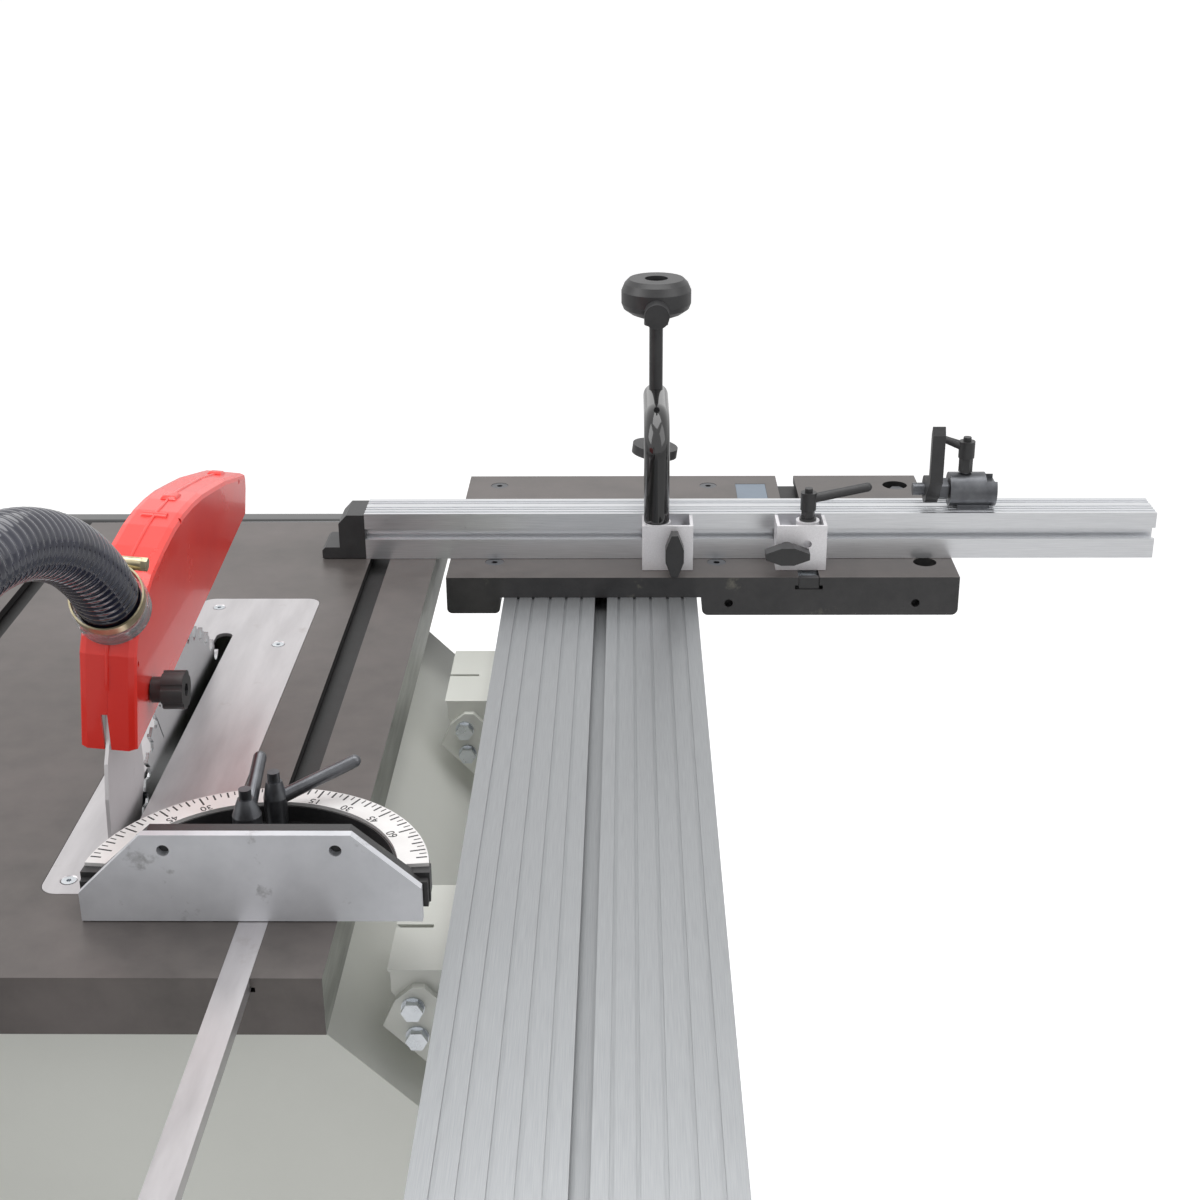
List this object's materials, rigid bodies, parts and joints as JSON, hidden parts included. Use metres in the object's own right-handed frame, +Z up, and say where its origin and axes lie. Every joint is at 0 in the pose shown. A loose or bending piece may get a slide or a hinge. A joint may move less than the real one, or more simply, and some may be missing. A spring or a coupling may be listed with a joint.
{
  "type": "panel saw",
  "caption": "Floor-standing panel saw with tilting guarded blade, cast table, sliding beam, crosscut fence, hold-down, length stop and mitre gauge.",
  "frame": {"origin": "centre of the base on the floor, measured without the dust hose", "axes": "+X across the saw to the sliding beam, +Y along the cut to the operator, +Z up"},
  "size_m": [1.26, 1.612, 1.1528],
  "materials": {
    "cream_paint": "fine textured powder coat",
    "dark_plastic": "moulded, satin",
    "black_paint": "glossy black paint",
    "zinc": "bright zinc plate",
    "cast_iron": "ground top, dull sides",
    "ground_steel": "ground",
    "blade_steel": "polished",
    "aluminium": "matt anodised",
    "red_plastic": "glossy",
    "green_plastic": "glossy",
    "grey_paint": "machine grey enamel",
    "rubber_black": "satin",
    "clear_plastic": "clear",
    "hose_plastic": "dark translucent",
    "gold_zinc": "yellow zinc plate",
    "blue_grey": "satin",
    "white_scale": "satin with engraved ticks"
  },
  "bodies": {
    "machine": {"cabinet": "cream_paint", "feet": "rubber_black", "door_pins": "zinc", "main_table": "cast_iron", "table_insert": "ground_steel", "machine_screws": "zinc", "rip_rail": "black_paint", "dust_outlet": "dark_plastic", "switch_box": "dark_plastic", "beam_brackets": "cream_paint", "fixed_rail": "aluminium", "trunnions": "grey_paint", "dust_hose": "hose_plastic"},
    "door": {"cabinet_door": "cream_paint"},
    "start": {"start_button": "green_plastic"},
    "stop": {"stop_button": "red_plastic"},
    "cages": {"ball_cages": "ground_steel"},
    "sliding_table": {"beam": "aluminium", "beam_end_caps": "dark_plastic", "crosscut_table": "cast_iron", "crosscut_screws": "zinc", "scale_inlay": "blue_grey"},
    "tilt_frame": {"tilt_carriage": "grey_paint"},
    "tilt_handwheel": {"tilt_wheel": "dark_plastic"},
    "lift_frame": {"lift_carriage": "grey_paint", "motor": "grey_paint", "drive_belt": "rubber_black", "arbor_bearings": "ground_steel", "riving_knife": "ground_steel", "knife_clamp": "zinc"},
    "height_handwheel": {"height_wheel": "dark_plastic"},
    "spindle": {"arbor": "ground_steel", "blade_flanges": "ground_steel", "saw_blade": "blade_steel"},
    "motor_rotor": {"motor_pulley": "aluminium"},
    "guard": {"guard_left": "red_plastic", "guard_right": "red_plastic", "hose_collar": "clear_plastic", "band_clamp": "gold_zinc"},
    "guard_nut": {"guard_knob": "dark_plastic"},
    "fence_carrier": {"slot_nut": "zinc"},
    "fence_block": {"clamp_block_2": "aluminium"},
    "index": {"index_lever": "black_paint"},
    "wing_2": {"wing_knob_2": "dark_plastic"},
    "fence_bar": {"fence": "aluminium", "fence_shoe": "dark_plastic"},
    "holddown_block": {"clamp_block_1": "aluminium"},
    "wing_1": {"wing_knob_1": "dark_plastic"},
    "holddown_post": {"holddown_arm": "black_paint"},
    "holddown_screw": {"holddown_spindle": "dark_plastic"},
    "pad": {"holddown_pad": "dark_plastic"},
    "length_stop": {"stop_body": "ground_steel"},
    "flag": {"stop_flag": "black_paint"},
    "stop_clamp": {"stop_lever": "black_paint"},
    "gauge_slide": {"gauge_bar": "ground_steel"},
    "gauge": {"gauge_head": "black_paint", "gauge_scale": "white_scale", "gauge_face": "ground_steel"},
    "gauge_clamp_1": {"gauge_lever_1": "black_paint"},
    "gauge_clamp_2": {"gauge_lever_2": "black_paint"}
  },
  "joints": [
    {"name": "door_open", "type": "hinge", "parent": "machine", "child": "door", "pos_m": [-0.5555, -0.005, 0.25], "axis": [0, 0, 1], "range_deg": [0, 100]},
    {"name": "start_press", "type": "slide", "parent": "machine", "child": "start", "axis": [0, -1, 0], "range_m": [0, 0.004], "stiffness_N_per_m": 400},
    {"name": "stop_press", "type": "slide", "parent": "machine", "child": "stop", "axis": [0, -1, 0], "range_m": [0, 0.004], "stiffness_N_per_m": 400},
    {"name": "beam_slide", "type": "slide", "parent": "machine", "child": "sliding_table", "axis": [0, 1, 0], "range_m": [-0.35, 0.4]},
    {"name": "cage_roll", "type": "slide", "parent": "machine", "child": "cages", "axis": [0, 1, 0], "range_m": [-0.18, 0.21]},
    {"name": "blade_tilt", "type": "hinge", "parent": "machine", "child": "tilt_frame", "pos_m": [-0.221, 0.218, 0.85], "axis": [0, -1, 0], "range_deg": [0, 45], "deforming": ["dust_hose"]},
    {"name": "tilt_wheel_turn", "type": "hinge", "parent": "machine", "child": "tilt_handwheel", "pos_m": [-0.554, 0.278, 0.56], "axis": [-1, 0, 0], "range_deg": [0, 1440]},
    {"name": "blade_lift", "type": "slide", "parent": "tilt_frame", "child": "lift_frame", "axis": [0, 0, 1], "range_m": [-0.03, 0.035], "deforming": ["dust_hose"]},
    {"name": "height_wheel_turn", "type": "hinge", "parent": "tilt_frame", "child": "height_handwheel", "pos_m": [-0.331, 0.591, 0.62], "axis": [0, 1, 0], "range_deg": [-540, 630]},
    {"name": "blade_spin", "type": "hinge", "parent": "lift_frame", "child": "spindle", "pos_m": [-0.221, 0.218, 0.756], "axis": [1, 0, 0], "continuous": true},
    {"name": "motor_spin", "type": "hinge", "parent": "lift_frame", "child": "motor_rotor", "pos_m": [-0.311, 0.218, 0.566], "axis": [1, 0, 0], "continuous": true},
    {"name": "guard_pivot", "type": "hinge", "parent": "lift_frame", "child": "guard", "pos_m": [-0.221, 0.068, 0.945], "axis": [1, 0, 0], "range_deg": [-3, 12], "deforming": ["dust_hose"]},
    {"name": "guard_knob_turn", "type": "hinge", "parent": "guard", "child": "guard_nut", "pos_m": [-0.183, 0.068, 0.945], "axis": [1, 0, 0], "range_deg": [-180, 180]},
    {"name": "fence_in_slot", "type": "slide", "parent": "sliding_table", "child": "fence_carrier", "axis": [0, 1, 0], "range_m": [-0.01, 0.18]},
    {"name": "fence_swing", "type": "hinge", "parent": "fence_carrier", "child": "fence_block", "pos_m": [0.2987, 0.544, 0.87], "axis": [0, 0, 1], "range_deg": [-45, 12]},
    {"name": "index_lever_turn", "type": "hinge", "parent": "fence_block", "child": "index", "pos_m": [0.2987, 0.544, 0.91], "axis": [0, 0, 1], "range_deg": [-90, 0]},
    {"name": "wing_2_turn", "type": "hinge", "parent": "fence_block", "child": "wing_2", "pos_m": [0.278, 0.518, 0.871], "axis": [0, 1, 0], "range_deg": [-180, 180]},
    {"name": "fence_length", "type": "slide", "parent": "fence_block", "child": "fence_bar", "axis": [1, 0, 0], "range_m": [-0.02, 0.04]},
    {"name": "holddown_along", "type": "slide", "parent": "fence_bar", "child": "holddown_block", "axis": [1, 0, 0], "range_m": [-0.2, 0.035]},
    {"name": "wing_1_turn", "type": "hinge", "parent": "holddown_block", "child": "wing_1", "pos_m": [0.173, 0.518, 0.8715], "axis": [0, 1, 0], "range_deg": [-180, 180]},
    {"name": "holddown_swing", "type": "hinge", "parent": "holddown_block", "child": "holddown_post", "pos_m": [0.1565, 0.544, 0.91], "axis": [0, 0, 1], "range_deg": [-10, 10]},
    {"name": "holddown_press", "type": "slide", "parent": "holddown_post", "child": "holddown_screw", "axis": [0, 0, 1], "range_m": [-0.06, 0]},
    {"name": "pad_tilt", "type": "hinge", "parent": "holddown_screw", "child": "pad", "pos_m": [0.1565, 0.628, 0.943], "axis": [0, 1, 0], "range_deg": [-8, 8]},
    {"name": "stop_along", "type": "slide", "parent": "fence_bar", "child": "length_stop", "axis": [1, 0, 0], "range_m": [-0.05, 0.12]},
    {"name": "flag_flip", "type": "hinge", "parent": "length_stop", "child": "flag", "pos_m": [0.418, 0.58, 0.913], "axis": [1, 0, 0], "range_deg": [-165, 0]},
    {"name": "stop_lever_turn", "type": "hinge", "parent": "length_stop", "child": "stop_clamp", "pos_m": [0.45, 0.58, 0.94], "axis": [0, 0, 1], "range_deg": [-60, 60]},
    {"name": "gauge_in_slot", "type": "slide", "parent": "machine", "child": "gauge_slide", "axis": [0, 1, 0], "range_m": [-0.2, 0]},
    {"name": "gauge_angle", "type": "hinge", "parent": "gauge_slide", "child": "gauge", "pos_m": [-0.1085, -0.065, 0.86], "axis": [0, 0, 1], "range_deg": [-50, 50]},
    {"name": "gauge_lever_1_turn", "type": "hinge", "parent": "gauge_slide", "child": "gauge_clamp_1", "pos_m": [-0.123, -0.007, 0.88], "axis": [0, 0, 1], "range_deg": [0, 60]},
    {"name": "gauge_lever_2_turn", "type": "hinge", "parent": "gauge_slide", "child": "gauge_clamp_2", "pos_m": [-0.1085, 0.017, 0.88], "axis": [0, 0, 1], "range_deg": [-10, 60]}
  ],
  "couplings": [
    {"joint": "cage_roll", "follows": "beam_slide", "ratio": 0.5},
    {"joint": "tilt_wheel_turn", "follows": "blade_tilt", "ratio": 32},
    {"joint": "height_wheel_turn", "follows": "blade_lift", "rad_per_m": 314.16},
    {"joint": "motor_spin", "follows": "blade_spin", "ratio": 0.7}
  ]
}
